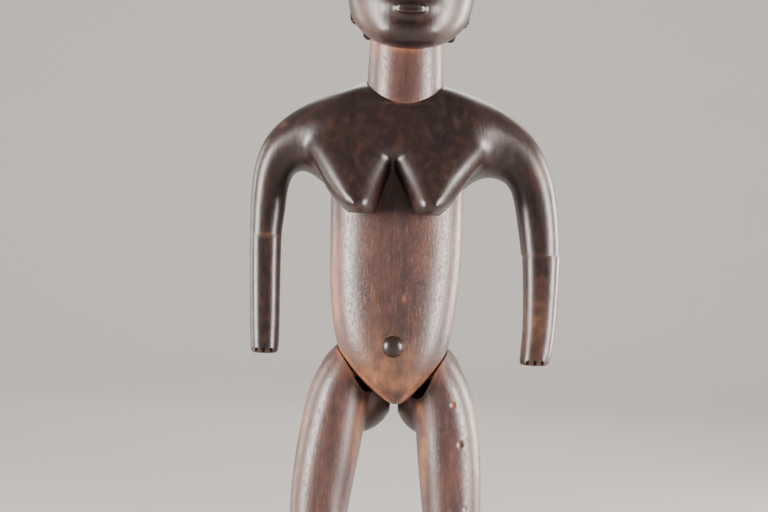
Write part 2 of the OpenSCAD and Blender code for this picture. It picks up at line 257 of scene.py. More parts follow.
def notch(piece, spots, size):
    for x, y, z in spots:
        cut(piece, box(x, y, z, size))


def torso(name, grow=0, gape=0):
    # gape widens the point of the belly, where the thighs stand clear of it
    return limb(name, [
        slab(1.8, crotch - 0.2, 1.2 + grow + gape, -13.6 - grow - gape, -8 + grow),
        slab(1.6, crotch + 1.4, 4.6 + grow + gape * 0.95, -16 - grow - gape, -3 + grow),
        slab(1.0, crotch + 5.3, 8.8 + grow + gape * 0.75, -18.8 - grow - gape, 4 + grow),
        slab(0.5, crotch + 10.3, 14.4 + grow + gape * 0.35, -20.9 - grow, 11 + grow),
        slab(-0.1, crotch + 19.3, 22.4 + grow, -22.6 - grow, 16.4 + grow),
        slab(-0.3, crotch + 36.8, 25.2 + grow, -21.4 - grow, 18.4 + grow),
        slab(-0.1, crotch + 52.8, 26.5 + grow, -20 - grow, 18.6 + grow),
        slab(0, crotch + 65, 26.7 + grow, -19.2 - grow, 19 + grow),
        slab(-0.4, crotch + 83, 26.9 + grow, -19.2 - grow, 19.4 + grow),
        slab(-0.4, crotch + 92, 26.6 + grow, -19 - grow, 19.4 + grow),
        slab(-0.4, crotch + 98, 26 + grow, -18.6 - grow, 19.2 + grow),
        slab(-0.4, crotch + 98.6, 25 + grow, -18 - grow, 18.6 + grow),
    ], square=2.3)


print("tools laid out")


# trunk

trunkLook = {"voxel": 0.75, "sanding": 3, "neckFoot": 31.0, "neckTop": 29.4, "tenon": 18.0}
jaw = chin + 7.2                # where the neck ends inside the head
navelZ = sum(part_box("navel_plug")[i].z for i in (0, 1)) / 2 / mm


def makeTrunk():
    look = trunkLook
    foot, top = look["neckFoot"] / 2, look["neckTop"] / 2
    seat = crotch + 98.4
    neck = limb("neck", [
        (neckX, neckY, seat - 8, foot, foot),
        (neckX, neckY, seat + 14, foot, foot),
        (neckX, neckY, nape - 10, foot, foot),
        (neckX, neckY, jaw - 14, top + 0.5, top + 0.4),
        (neckX, neckY, jaw - 1, top, top),
        (neckX, neckY, jaw, top - 0.4, top - 0.4),
    ], square=2.1)
    tenon = rod(neckX, neckY, jaw + 9, look["tenon"], 22)
    trunk = fuse("trunkBody", [torso("trunkBody"), neck, tenon], look["voxel"], look["sanding"])
    for side in (-1, 1):            # the back swells on both sides of the spine
        press(trunk, side * 11, 20, crotch + 58, (12, 9, 40), (0, 0.9, 0))
    press(trunk, 0, 21, crotch + 56, (5, 8, 46), (0, -1.5, 0))
    press(trunk, 0.2, -22, navelZ, (9, 8, 8), (0, -0.7, 0))
    rim = [(side * (25.5 - 24 * t) + 0.8, -19 + 12 * (1 - t) ** 2, crotch + 24.5 - 24 * t ** 0.85,
            (2.2, 12, 2.0), 0.95) for t in np.linspace(0, 1, 26) for side in (-1, 1)]
    mark(trunk, "wearAndSheen", rim + [
        (0.5, -21, crotch + 8, (15, 20, 10), 0.6), (-8, -21, crotch + 10, (10, 12, 8), 0.9),
        (9, -21, crotch + 8, (9, 12, 8), 0.85), (0.2, -22, navelZ, (7.4, 9, 7.4), 0.9),
        (3.6, -21, crotch + 42, (1.3, 6, 2.6), 0.9), (0, -20, crotch + 18, (26, 30, 14), 0.45),
        (-24, -6, crotch + 45, (7, 30, 40), 0.5), (25, -6, crotch + 40, (5, 30, 46), 0.35),
        (neckX, -14, chin + 0.5, (13, 8, 3.4), 1.0), (-14, -3, chin + 1, (6, 12, 9), 0.8),
        (16, -3, chin + 1, (4, 12, 6), 0.6), (neckX, -14, nape - 11, (16, 12, 3), 0.5)])
    # darker marks, mostly painted shade: at the belly point where it overhangs the thighs, under the navel
    # knob, in the crease at the +x hip and under the breast edge; down the middle of the belly and down the
    # front of the neck both dark residue and painted shade of the unlit middle between the two lit sides;
    # two small dark spots on the lower belly and a darker back
    mark(trunk, "sootAndShade", [
        (-1.8, -20, crotch + 5, (5, 8, 2.6), 0.9), (2.4, -20, crotch + 3.4, (3.4, 8, 2.2), 0.9),
        (3.2, -22, crotch + 13.6, (2.2, 6, 2.6), 0.8), (-6.6, -22, crotch + 14.4, (2.8, 6, 2.2), 0.7),
        (0.6, -24, navelZ - 3.6, (2.4, 8, 2), 0.6), (1, -20, crotch + 60, (11, 9, 60), 0.55),
        (23.6, -6, crotch + 20, (3.2, 8, 8), 0.95), (-6, -20, crotch + 72, (9, 8, 10), 0.5),
        (neckX, -15, nape - 2, (10, 9, 20), 0.95), (0, 20, crotch + 60, (26, 14, 70), 0.4)])
    return trunk


# shoulders, breasts and upper arms

yokeLook = {"voxel": 0.75, "sanding": 22, "blending": 70, "nippleSpread": 32.0, "bustReach": 38.0,
            "underSlope": 20}


def chestFront(rise):
    # one slope from the foot of the neck down to the nipples
    return -15 - (yokeLook["bustReach"] - 15) * (43 - rise) / 40.5


# height above the bust edge, inner edge, outer edge, front
breastRight = [
    (-4, -10.5, -17.5, -31), (-1.2, -9.4, -19.2, -34.6), (0, -8.8, -20.8, -36.6), (2.4, -8, -23.8, -38),
    (6.3, -6.8, -27.4, -35.8), (12, -5, -30.8, -32.6), (17, -3.4, -33.6, -29.8), (22, -1.8, -36, -26.8),
    (28, -1, -37.6, -22.8), (34, -1, -36, -16)]
breastLeft = [
    (-4, 7.6, 14.6, -31), (-1.2, 6.4, 16.4, -34.6), (0, 5.8, 18, -36.6), (2.4, 4.8, 20.4, -38),
    (6, 3.2, 23, -36), (12, 0.4, 26.8, -32.6), (17, -1.9, 30.6, -29.8), (22, -3.9, 33.8, -26.8),
    (28, -5, 36, -22.8), (34, -5, 35, -16)]


def breast(rings):
    return limb("breast", [slab((inner + outer) / 2, bust + rise, abs(outer - inner) / 2, front, -4)
                           for rise, inner, outer, front in rings], square=2.1)


# x, depth middle, height above the bust edge, half width, half depth, lean
armRight = [
    (-4, 2, 27, 24.6, 13, -90), (-13, 1, 27.2, 25, 15, -90), (-22, -0.6, 27.4, 22.2, 20, -90),
    (-30, -1, 27.7, 17.8, 19, -92),
    (-39, -0.6, 28.6, 12.6, 14.6, -98), (-46, -1, 24, 10.4, 11.8, -114),
    (-49.6, -1.2, 18.4, 9.6, 10.4, -130),
    (-51.6, -1.6, 10.5, 8.2, 9.2, -150), (-52, -2, 0, 7.3, 8.2, -168), (-52.4, -3, -7, 6.6, 7.6, -177),
    (-52.4, -3.5, -12, 6.4, 7.4, -180), (-52.4, -3.5, -16, 6.4, 7.4, -180)]
armLeft = [
    (6, 2, 27, 24.6, 13, 90), (15, 1, 27.2, 24.8, 15, 90), (22, -0.6, 27.8, 22.6, 20, 90),
    (30, -1, 30, 17, 19, 93),
    (38, -0.6, 29.6, 14.2, 15, 98), (45.6, -1, 25.4, 12, 12.4, 107), (51.2, -1.2, 19.2, 10.4, 11, 126),
    (54.4, -1.6, 10.2, 9.1, 9.8, 150), (56.2, -2, 0, 8.5, 9, 166), (57.4, -2.8, -11, 8, 8.6, 177),
    (57.9, -3.5, -18, 7.6, 8.2, 180), (57.9, -3.5, -22, 7.5, 8.2, 180)]


def arm(rings):
    return limb("arm", [(x, y, bust + rise, wide, deep, lean) for x, y, rise, wide, deep, lean in rings],
                square=2.1)


def makeYoke():
    look = yokeLook
    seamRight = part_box("forearm_right")[1].z / mm
    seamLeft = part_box("forearm_left")[1].z / mm
    # height above the bust edge, half width, front, back
    rings = [(-3, 20, -18, 17), (6, 20, -18, 17), (9, 25.6, -18, 20), (13, 28, -18.4, 22),
             (17.5, 30, -19, 23), (21, 31, -22, 23), (24.6, 31.6, chestFront(25), 23),
             (31, 32, chestFront(31), 23), (37, 31.6, chestFront(37), 22), (43, 29.6, chestFront(43), 20.5),
             (48, 25.6, -9.6, 19), (50.6, 21, -5, 18), (52.6, 16.4, 0, 17), (54.4, 8, 6, 13)]
    chest = limb("chest", [slab(0.4, bust + rise, wide, front, back) for rise, wide, front, back in rings],
                 square=2.9)
    parts = [chest, arm(armRight), arm(armLeft), breast(breastRight), breast(breastLeft)]
    yoke = fuse("shoulders", parts, look["voxel"], look["sanding"])
    soften(yoke, [(-31, -20, bust + 22, (12, 16, 15)), (30, -20, bust + 22, (12, 16, 15)),
                  (-20, 0, nape, (22, 22, 12)), (22, 0, nape, (22, 22, 12)),
                  (-24, 22, bust + 30, (14, 12, 22)), (24, 22, bust + 30, (14, 12, 22))], look["blending"])
    for side in (-1, 1):            # nipples
        press(yoke, side * look["nippleSpread"] / 2 - 0.9, -37.4, bust + 1.8, (1.8, 3, 1.8),
              (0, -1.3, -0.2))
    cut(yoke, torso("pocket", grow=clearance))
    cut(yoke, box(0, -45, bust - 21.2, (68, 70, 40)))           # level edge under the breasts
    wedge = box(0, 30, -20, (68, 98, 40))
    pick(wedge)
    bpy.ops.transform.rotate(value=-math.radians(look["underSlope"]), orient_axis="X",
                             center_override=place(0, -19, 0))
    bpy.ops.transform.translate(value=(0, 0, bust * mm))
    cut(yoke, settle(wedge))
    soften(yoke, [(-14.5, -33, bust - 1, (13, 12, 5)), (11.6, -33, bust - 1, (13, 12, 5)),
                  (-6.5, -30, bust + 12, (7, 13, 18)), (4, -30, bust + 12, (7, 13, 18)),
                  (-26, -30, bust + 8, (9, 13, 12)), (24, -30, bust + 8, (9, 13, 12))], 30)
    cut(yoke, rod(neckX, neckY, nape, trunkLook["neckFoot"] + 0.2, 80))
    cut(yoke, box(-52.3, -3, seamRight - 5, (24, 40, 10)))
    cut(yoke, box(58.1, -3, seamLeft - 5, (24, 40, 10)))
    mark(yoke, "wearAndSheen", [
        (-52.4, -3.5, seamRight, (9, 12, 2.2), 0.9), (57.9, -3.5, seamLeft, (11, 12, 2), 0.8),
        (58, -10, bust + 20, (8, 9, 13), 0.35), (-47, -9, bust + 33, (4, 9, 3), 0.3),
        (-16.9, -38, bust, (6, 5, 1.8), 0.4), (neckX, -16, nape - 10.5, (15, 5, 1.2), 0.4)])
    # painted shade in the cleavage and over the top of the chest, which faces away from the side lamps
    mark(yoke, "sootAndShade", [(0, -24, bust + 4, (7, 14, 26), 1.0), (0, -20, bust + 40, (40, 20, 20), 0.5)])
    return yoke


# forearms

forearmLook = {"voxel": 0.5, "sanding": 3, "cutDepth": 1.6}


def makeForearm(name, node, rings):
    # each ring is x, depth middle, share of the length from the top, half width, half depth
    low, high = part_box(node)
    top, bottom = high.z / mm, low.z / mm
    placed = [(x, y, top - share * (top - bottom), wide, deep) for x, y, share, wide, deep in rings]
    piece = limb(name, placed, square=2.4)
    piece = fuse(name, [piece], forearmLook["voxel"], forearmLook["sanding"])
    cut(piece, box(rings[0][0], -3, top + 5, (24, 40, 10)))
    handX, deep = rings[-1][0], forearmLook["cutDepth"]
    notch(piece, [(handX, -9.4 + step * 3.3, bottom) for step in (-1, 0, 1)], (20, 1.1, deep * 2.4))
    notch(piece, [(handX + step * 2.9, -16.6, bottom) for step in (-1, 0, 1)], (1.1, 4.4, deep * 2.8))
    mark(piece, "wearAndSheen", [
        (rings[1][0], -3.5, top, (10, 12, 2.4), 0.85), (handX, -9.4, bottom - 1, (12, 14, 3.6), 1.0),
        (handX, -12, bottom + 16, (9, 12, 26), 0.4 if handX > 0 else 0.0)])
    mark(piece, "sootAndShade", [])
    return piece


forearmRight = [
    (-52.4, -3, -0.08, 6.5, 7.5), (-52.4, -3.5, 0, 6.4, 7.4), (-52.2, -4.4, 0.25, 6.2, 7.1),
    (-51.6, -6.4, 0.6, 6.0, 6.9), (-51.1, -8.6, 0.87, 5.8, 7.5), (-51.0, -9.3, 0.97, 5.5, 7.2),
    (-51.0, -9.4, 0.995, 4.9, 6.5), (-51.0, -9.4, 1, 4.0, 5.6)]
forearmLeft = [
    (58, -3, -0.08, 7.75, 8.2), (58.1, -3.5, 0, 7.7, 8.2), (58.3, -4.4, 0.25, 7.2, 7.8),
    (58.2, -6.4, 0.6, 6.6, 7.4), (57.3, -8.4, 0.85, 6.4, 7.8), (56.4, -9.3, 0.965, 6.1, 7.5),
    (56.2, -9.4, 0.99, 5.4, 6.8), (56.2, -9.4, 1, 4.4, 5.8)]


# legs

legLook = {"voxel": 0.7, "sanding": 12, "ankle": 26.5, "groinGap": 5.2, "middleLine": 1.3, "cleft": 3.2,
           "toeGap": 3.3}


def makeLeg(name, side):
    look = legLook
    ankleX = side * look["ankle"]
    leg = limb("legBody", [
        (side * 10, 4, crotch + 25, 6, 9, side * -30),
        (side * 13.6 - 0.5 - side * 0.8, 3.4, crotch + 20, 9.4, 14.2, side * -26),
        (side * 17.4 - 0.6 - side * 0.5, 3.6, crotch + 12, 11.3, 16.5, side * -22),
        (side * 20.9 - 0.4 - side * 0.2, 3.4, crotch + 3.6, 12.2, 16.8, side * -16),
        (side * 22.9, 2.6, crotch - 8, 12.7, 16, side * -10),
        (side * 24.6 - 0.4, 0.5, crotch - 22, 12.9, 14.5, side * -7),
        (side * 26.9 - 1.0, -1.2, 64, 11.8, 13, side * -4),
        (side * 26.9 - 0.6, -3, 49, 10.8, 12.6),
        (ankleX, -1.2, 35, 10.9, 12.7),
        (ankleX, 1, 20, 8.6, 9.8),
        (ankleX, 1, 11, 7.6, 8.6),
        (ankleX, 1, 5, 7.6, 8.6),
    ], square=2.1)
    seatX, seatWide = (15.2, 14.6) if side > 0 else (-14.3, 16.4)
    seat = ball(seatX, 12.4, crotch + 5.4, (seatWide, 15.6, 19.2))
    foot = limb("foot", [
        (ankleX, 14, 3, 5, 3.6, 0, 90),
        (ankleX, 12, 3.4, 7.4, 6.0, 0, 90),
        (ankleX, 2, 4.4, 8.4, 9.2, 0, 90),
        (ankleX, -10, 2.8, 9.2, 6.6, 0, 90),
        (ankleX, -21, 2, 9.6, 4.8, 0, 90),
        (ankleX, -25, 1.8, 8.2, 3.4, 0, 90),
        (ankleX, -26, 1.6, 6.2, 2.2, 0, 90),
    ], square=2.4)
    piece = fuse(name, [leg, seat, foot], look["voxel"], look["sanding"])
    press(piece, side * 26.4 - 0.8, -15, 49, (9, 9, 8), (0, -1.1, 0))      # knee
    press(piece, side * 26.4 - 0.6, 10, 34, (9, 9, 12), (0, 1.2, 0))       # calf
    if side > 0:                    # small old knots
        for x, y, z in ((24.5, -14, 108), (28, -13, 92.5), (30.6, -10.6, 67)):
            press(piece, x, y, z, (1.5, 4, 1.7), (0, 0.9, 0))
    cut(piece, torso("pocket", grow=clearance))
    cut(piece, torso("gap", grow=clearance, gape=look["groinGap"]))
    cut(piece, box(0, 0, -20, (200, 200, 40)))
    cut(piece, box(look["middleLine"] - side * (50 - look["cleft"] / 2), 0, 100, (100, 100, 240)))
    toes = (-1, 0, 1, 2) if side > 0 else (-2, -1, 0, 1)
    notch(piece, [(ankleX + step * look["toeGap"], -24.6, 5.4) for step in toes], (0.9, 8, 5))
    rim = [(side * (26 - 17 * t) + 0.4, -17 + 10 * (1 - t) ** 2, crotch + 25 - 24 * t, (2.0, 12, 2.0), 0.7)
           for t in np.linspace(0, 1, 20)]
    mark(piece, "wearAndSheen", rim + [
        (side * 11 + 0.4, -12, crotch - 2, (3.2, 12, 8), 0.95),
        (side * 13 + 0.4, -10, crotch - 22, (3, 12, 26), 0.8),
        (side * 17, -16, crotch + 14, (9, 12, 8), 0.5), (side * 35, -2, crotch - 2, (5, 14, 30), 0.45),
        (24.5, -14, 108, (1.6, 6, 1.8), 1.0), (28, -13, 92.5, (1.2, 6, 1.2), 0.9),
        (30.6, -10.6, 67, (1.4, 6, 1.6), 1.0),
        (ankleX, -24, 2, (12, 10, 7), 0.7), (ankleX, 14, 2, (10, 8, 7), 0.5)])
    # darker marks: down the front middle of each thigh both dark patina and painted shade between its two
    # lit sides; painted shade between the thighs at the crotch; a darker back of the leg
    mark(piece, "sootAndShade", [
        (side * 22 - 1, -15, crotch - 14, (4.6, 10, 34), 0.75),
        (side * 14, 4, crotch - 4, (9, 13, 18), 0.9),
        (side * 26, 14, 60, (10, 10, 50), 0.5)])
    return piece


# head

headLook = {"voxel": 0.55, "sanding": 12, "rows": 9, "plaitLinks": 34, "eyeSpread": 21.2}
headX, faceX = 2.4, 2.2         # the head and its face stand a little off the middle


def makeHead():
    look = headLook
    face, back = -28.0, 30.0

    def key(rise, share, front, behind):
        return slab(headX, chin + rise, share * 27.2, face + front, back - behind)

    skull = limb("skull", [
        key(-0.4, 0.16, 7, 43), key(0.6, 0.35, 4, 36), key(2.6, 0.53, 2, 27), key(6, 0.695, 0.6, 18.5),
        key(10, 0.825, 0.4, 11.6), key(16, 0.92, 0.4, 7), key(28, 0.975, 1.4, 5), key(42, 0.975, 1.8, 3.4),
        key(56, 0.93, 2.4, 3.4), key(68, 0.76, 8, 8.4), key(74, 0.48, 16, 16), key(77, 0.2, 25, 25)])
    parts = [skull,
             ball(faceX, -18.6, chin + 15, (15, 10, 9)),         # muzzle
             ball(faceX, -17.4, chin + 7, (15, 10.4, 7))]        # chin
    parts.append(limb("nose", [
        slab(faceX, chin + 23.6, 4.2, -30, -20), slab(faceX, chin + 25, 5.6, -32.4, -20),
        slab(faceX, chin + 27.6, 5.2, -33.4, -20), slab(faceX, chin + 31, 3.6, -32.2, -20),
        slab(faceX, chin + 36, 2.8, -30.4, -20), slab(faceX, chin + 42, 2.6, -28.8, -20),
        slab(faceX, chin + 47, 3.6, -27.6, -20)], sides=20))
    for side in (-1, 1):
        parts.append(limb("brow", [
            (faceX + side * 2, -27.4, chin + 46.4, 1.1, 1.6, side * 90),
            (faceX + side * 8, -27.2, chin + 48, 1.3, 1.7, side * 90),
            (faceX + side * 14, -24.8, chin + 47.4, 1.2, 1.6, side * 100),
            (faceX + side * 19, -20.6, chin + 45, 0.8, 1.2, side * 110)], sides=12))
        parts.append(ball(faceX + side * look["eyeSpread"] / 2, -24.4, chin + 39.6, (6.4, 3.0, 3.1)))
        parts.append(ball(headX + side * 26, 2, chin + 34, (2.6, 4.6, 8)))
    head = fuse("carvedHead", parts, look["voxel"], look["sanding"])
    press(head, faceX, -28.5, chin + 9.6, (9, 6, 2.6), (0, 1.3, 0.3))     # hollow under the lip
    rows = [hairRow(-1 + 2 * (n + 0.5) / look["rows"]) for n in range(look["rows"])]
    lips = [lip(chin + 15.2, 1.1, 0.7), lip(chin + 12.9, 1.1, -0.7)]
    head = fuse("carvedHead", [head] + rows + lips, look["voxel"], 4)
    cut(head, rod(neckX, neckY, jaw - 20, trunkLook["neckTop"] + 0.2, 40))
    cut(head, rod(neckX, neckY, jaw + 9, trunkLook["tenon"] + 0.2, 22.4))
    # painted highlight: lighter, warmer cheeks beside the corners of the mouth, stronger on the -x side
    mark(head, "wearAndSheen", [(-14, -18, chin + 12, (14, 14, 16), 0.35),
                        (18, -18, chin + 12, (10, 14, 16), 0.25)])
    # painted shade: down the middle of the chin between its two lit sides, under the jaw, and over the
    # mouth and the groove between the lips
    mark(head, "sootAndShade", [(faceX, -24, chin + 6, (5, 12, 12), 0.7), (faceX, -20, chin, (22, 26, 5), 0.9),
                        (faceX, -29, chin + 14, (9, 4, 3.4), 1.0)])
    return head


def lip(height, thick, curl):
    return limb("lip", [
        (faceX - 6.6, -27.0, height - curl, 0.4, 0.8, 90),
        (faceX - 4.4, -28.4, height - curl * 0.4, thick * 0.8, 1.4, 90),
        (faceX, -28.9, height, thick, 1.6, 90),
        (faceX + 4.4, -28.4, height - curl * 0.4, thick * 0.8, 1.4, 90),
        (faceX + 6.6, -27.0, height - curl, 0.4, 0.8, 90)], sides=12)


def hairRow(across):
    # a plait from the brow over the crown to the nape, tighter and looser in turn
    share = (1 - abs(across) ** 2.6) ** (1 / 2.6)
    x = headX + across * 25.4
    nod0, nod1 = 38 + 30 * (1 - share), 256 - 40 * (1 - share)
    rings = []
    steps = headLook["plaitLinks"]
    for step in range(steps + 1):
        angle = math.radians(nod0 + (nod1 - nod0) * step / steps)
        drop = share if math.sin(angle) > 0 else 1 - (1 - share) * 0.2
        y = 3 - math.cos(angle) * 26 * share
        z = chin + 40 + math.sin(angle) * 37.6 * drop
        knot = 1.12 if step % 2 else 0.86
        rings.append((x + across * 0.8 * math.sin(angle), y, z, 2.9 * knot, 2.2 * knot,
                      0, math.degrees(angle)))
    return limb("plait", rings, sides=10, levels=1)


navelLook = {"knob": (4.4, 3.4, 4.3), "peg": 5, "voxel": 0.25}


def makeNavel():
    look = navelLook
    low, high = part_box("navel_plug")
    centre = (low + high) / 2
    x, z = (centre.x - middle.x) / mm, centre.z / mm
    knob = ball(x, -22.2, z, look["knob"], 48)
    peg = rod(x, -17, z, look["peg"], 9.6, (90, 0, 0))
    knob = fuse("navelKnob", [knob, peg], look["voxel"], 2)
    mark(knob, "wearAndSheen", [])
    # painted shadow under the knob
    mark(knob, "sootAndShade", [(x, -25, z - 3, (2, 4, 2), 0.8)])
    return knob


crumb = 0.02                    # the smallest edge that is kept, in millimetres


def sound(piece):
    # the saw leaves slivers and crumbs: they are dissolved, and any gap is filled
    pick(piece)
    bpy.ops.object.mode_set(mode="EDIT")
    bpy.ops.mesh.select_all(action="SELECT")
    bpy.ops.mesh.quads_convert_to_tris()
    bpy.ops.mesh.remove_doubles(threshold=crumb * mm)
    bpy.ops.mesh.select_all(action="SELECT")
    bpy.ops.mesh.dissolve_degenerate(threshold=crumb * mm)
    bpy.ops.mesh.select_all(action="DESELECT")
    bpy.ops.object.mode_set(mode="OBJECT")
    piece.data.vertices[int(points(piece)[:, 1].argmin())].select = True
    bpy.ops.object.mode_set(mode="EDIT")
    bpy.ops.mesh.select_linked()
    bpy.ops.mesh.select_all(action="INVERT")
    bpy.ops.mesh.delete(type="VERT")
    bpy.ops.object.mode_set(mode="OBJECT")
    for attempt in range(4):        # a mend can leave a smaller tear, so it is tried again
        work = bmesh.new()
        work.from_mesh(piece.data)
        torn = [edge for edge in work.edges if len(edge.link_faces) != 2]
        if torn:                    # the faces round a tear are taken off, and the hole is filled
            near = {face for edge in torn for face in edge.link_faces}
            bmesh.ops.delete(work, geom=list(near), context="FACES")
            bmesh.ops.delete(work, geom=[e for e in work.edges if not e.link_faces], context="EDGES")
            bmesh.ops.delete(work, geom=[v for v in work.verts if not v.link_edges], context="VERTS")
            rim = [edge for edge in work.edges if len(edge.link_faces) == 1]
            bmesh.ops.holes_fill(work, edges=rim, sides=0)
            bmesh.ops.triangulate(work, faces=[f for f in work.faces if len(f.verts) > 3])
            bmesh.ops.recalc_face_normals(work, faces=work.faces)
            work.to_mesh(piece.data)
        work.free()
    print(piece.name, "has", len(piece.data.polygons), "faces,", len(torn), "torn edges")


pieces = {
    "trunk": (makeTrunk(), "worn_wood"),
    "shoulder_yoke": (makeYoke(), "polished_wood"),
    "forearm_right": (makeForearm("forearmRight", "forearm_right", forearmRight), "polished_wood"),
    "forearm_left": (makeForearm("forearmLeft", "forearm_left", forearmLeft), "polished_wood"),
    "leg_right": (makeLeg("legRight", -1), "worn_wood"),
    "leg_left": (makeLeg("legLeft", 1), "worn_wood"),
    "head": (makeHead(), "polished_wood"),
    "navel_plug": (makeNavel(), "polished_wood"),
}
for node, (piece, slot) in pieces.items():
    sound(piece)
    pick(piece)
    bpy.ops.object.shade_smooth_by_angle(angle=math.radians(40))
    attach(piece, "root")
    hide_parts(node)
print("pieces carved")


# finishes

class Wire:
    # a shader value that is added and scaled like a number
    def __init__(self, paint, socket):
        self.paint = paint
        self.socket = socket

    def math(self, operation, other):
        return self.paint.add("ShaderNodeMath", {"operation": operation}, {0: self, 1: other})

    def __add__(self, other):
        return self.math("ADD", other)

    def __mul__(self, other):
        return self.math("MULTIPLY", other)

    __radd__ = __add__
    __rmul__ = __mul__

    def between(self, low, high, start=0.0, end=1.0):
        return self.paint.add("ShaderNodeMapRange", {"clamp": True}, {
            "Value": self, "From Min": low, "From Max": high, "To Min": start, "To Max": end})


class Paint:
    def __init__(self, name):
        self.material = bpy.data.materials.new(name)
        self.material.use_nodes = True
        self.tree = self.material.node_tree
        self.shader = self.tree.nodes["Principled BSDF"]
        self.place = self.add("ShaderNodeTexCoord", {}, {}, "Object")

    def add(self, kind, settings, inputs, output=0):
        made = self.tree.nodes.new(kind)
        for key, value in settings.items():
            setattr(made, key, value)
        for key, value in inputs.items():
            self.feed(made.inputs[key], value)
        return Wire(self, made.outputs[output])

    def feed(self, socket, value):
        if isinstance(value, Wire):
            self.tree.links.new(value.socket, socket)
        else:
            socket.default_value = value

    def grain(self, across, along, detail=4.0, rough=0.6, shift=0.0):
        # streaks that run up the piece: across and along are features per metre
        stretched = self.add("ShaderNodeMapping", {}, {
            "Vector": self.place, "Scale": (across, across, along), "Location": (shift, shift, shift)})
        return self.add("ShaderNodeTexNoise", {}, {
            "Vector": stretched, "Scale": 1.0, "Detail": detail, "Roughness": rough})

    def blend(self, share, first, second):
        return self.add("ShaderNodeMix", {"data_type": "RGBA"}, {0: share, 6: first, 7: second}, 2)

    # reads a painted attribute, which holds wear and dirt together with painted highlights and painted
    # shade
    def wearAndSheen(self, name):
        return self.add("ShaderNodeAttribute", {"attribute_name": name}, {}, "Fac")

    def set(self, **values):
        for key, value in values.items():
            self.feed(self.shader.inputs[key.replace("_", " ")], value)


def colour(red, green, blue):
    return (red, green, blue, 1.0)


def polishedWood():
    paint = Paint("polishedWood")
    broad = paint.grain(60, 30, 3)
    cloud = paint.grain(260, 200, 4, 0.6, 6.4)
    fine = paint.grain(1100, 110, 5, 0.65, 3.1)
    scratch = paint.grain(240, 2600, 3, 0.7, 9.7)
    speck = paint.grain(900, 900, 2, 0.5, 2.2)
    # of the two painted attributes, one lightens towards orange with wear and with painted highlights, the
    # other darkens with dark marks and with painted shade
    wearAndSheen, sootAndShade = paint.wearAndSheen("wearAndSheen"), paint.wearAndSheen("sootAndShade")
    tint = paint.blend(broad.between(0.35, 0.68), colour(0.010, 0.006, 0.0065),
                       colour(0.021, 0.0105, 0.0095))
    tint = paint.blend(cloud.between(0.46, 0.7) * 0.7, tint, colour(0.046, 0.021, 0.015))
    tint = paint.blend(fine.between(0.56, 0.8) * 0.45, tint, colour(0.062, 0.03, 0.025))
    tint = paint.blend(scratch.between(0.64, 0.78) * 0.35, tint, colour(0.08, 0.045, 0.038))
    # darker where the marks hold painted shade and dark patina
    tint = paint.blend(sootAndShade * 0.75, tint, colour(0.008, 0.0055, 0.006))
    # orange where the marks hold wear, and on the cheeks painted highlight
    tint = paint.blend(wearAndSheen * cloud.between(0.3, 0.62, 0.35, 1.0), tint, colour(0.19, 0.085, 0.045))
    rough = fine.between(0.3, 0.75, 0.3, 0.42) + wearAndSheen * 0.18 + speck.between(0.5, 0.8) * 0.1
    height = fine + broad * 2 + scratch.between(0.6, 0.8) * 0.6
    bump = paint.add("ShaderNodeBump", {}, {"Strength": 0.16, "Distance": 0.0003, "Height": height})
    paint.set(Base_Color=tint, Roughness=rough, Normal=bump)
    paint.set(Specular_IOR_Level=0.45, Coat_Weight=0.06, Coat_Roughness=0.2)
    return paint.material


def wornWood():
    paint = Paint("wornWood")
    broad = paint.grain(45, 22, 4, 0.6, 1.7)
    cloud = paint.grain(190, 110, 4, 0.62, 4.4)
    streak = paint.grain(420, 26, 5, 0.62, 5.3)
    fine = paint.grain(1500, 160, 4, 0.6, 8.2)
    speck = paint.grain(1000, 700, 3, 0.6, 2.6)
    # one painted attribute lightens towards orange with wear, the other darkens with dark marks and with
    # painted shade
    wearAndSheen, sootAndShade = paint.wearAndSheen("wearAndSheen"), paint.wearAndSheen("sootAndShade")
    tint = paint.blend(broad.between(0.38, 0.64), colour(0.052, 0.029, 0.027), colour(0.108, 0.049, 0.037))
    tint = paint.blend(cloud.between(0.46, 0.66) * 0.6, tint, colour(0.032, 0.021, 0.022))
    tint = paint.blend(streak.between(0.46, 0.72) * 0.55, tint, colour(0.026, 0.016, 0.017))
    tint = paint.blend(fine.between(0.55, 0.78) * 0.45, tint, colour(0.26, 0.125, 0.085))
    tint = paint.blend(wearAndSheen * cloud.between(0.62, 0.34, 0.25, 1.0), tint, colour(0.36, 0.135, 0.05))
    # darker where the marks hold painted shade and dark residue
    tint = paint.blend(sootAndShade * streak.between(0.25, 0.6, 0.5, 1.0) * 0.8, tint, colour(0.02, 0.014, 0.016))
    rough = streak.between(0.3, 0.75, 0.3, 0.4) + speck.between(0.45, 0.7) * 0.16 + wearAndSheen * 0.1
    height = fine + streak * 0.7 + speck.between(0.5, 0.75) * 1.1 + broad * 3
    bump = paint.add("ShaderNodeBump", {}, {"Strength": 0.16, "Distance": 0.0003, "Height": height})
    paint.set(Base_Color=tint, Roughness=rough, Normal=bump)
    paint.set(Specular_IOR_Level=0.5)
    return paint.material


def rawWood():
    paint = Paint("rawWood")
    streak = paint.grain(500, 60, 4)
    tint = paint.blend(streak.between(0.35, 0.7), colour(0.42, 0.2, 0.09), colour(0.24, 0.1, 0.045))
    bump = paint.add("ShaderNodeBump", {}, {"Strength": 0.2, "Distance": 0.0003, "Height": streak})
    paint.set(Base_Color=tint, Roughness=streak.between(0.3, 0.7, 0.5, 0.65), Normal=bump)
    return paint.material


finishes = {"polished_wood": polishedWood(), "worn_wood": wornWood(), "raw_wood": rawWood()}
for node, (piece, slot) in pieces.items():
    piece.data.materials.clear()
    piece.data.materials.append(finishes[slot])
for node in ("forearm_dowel_left", "forearm_dowel_right", "hip_dowel"):
    frame["nodes"][node].material_slots[0].material = finishes["raw_wood"]
print("wood finished")


# studio

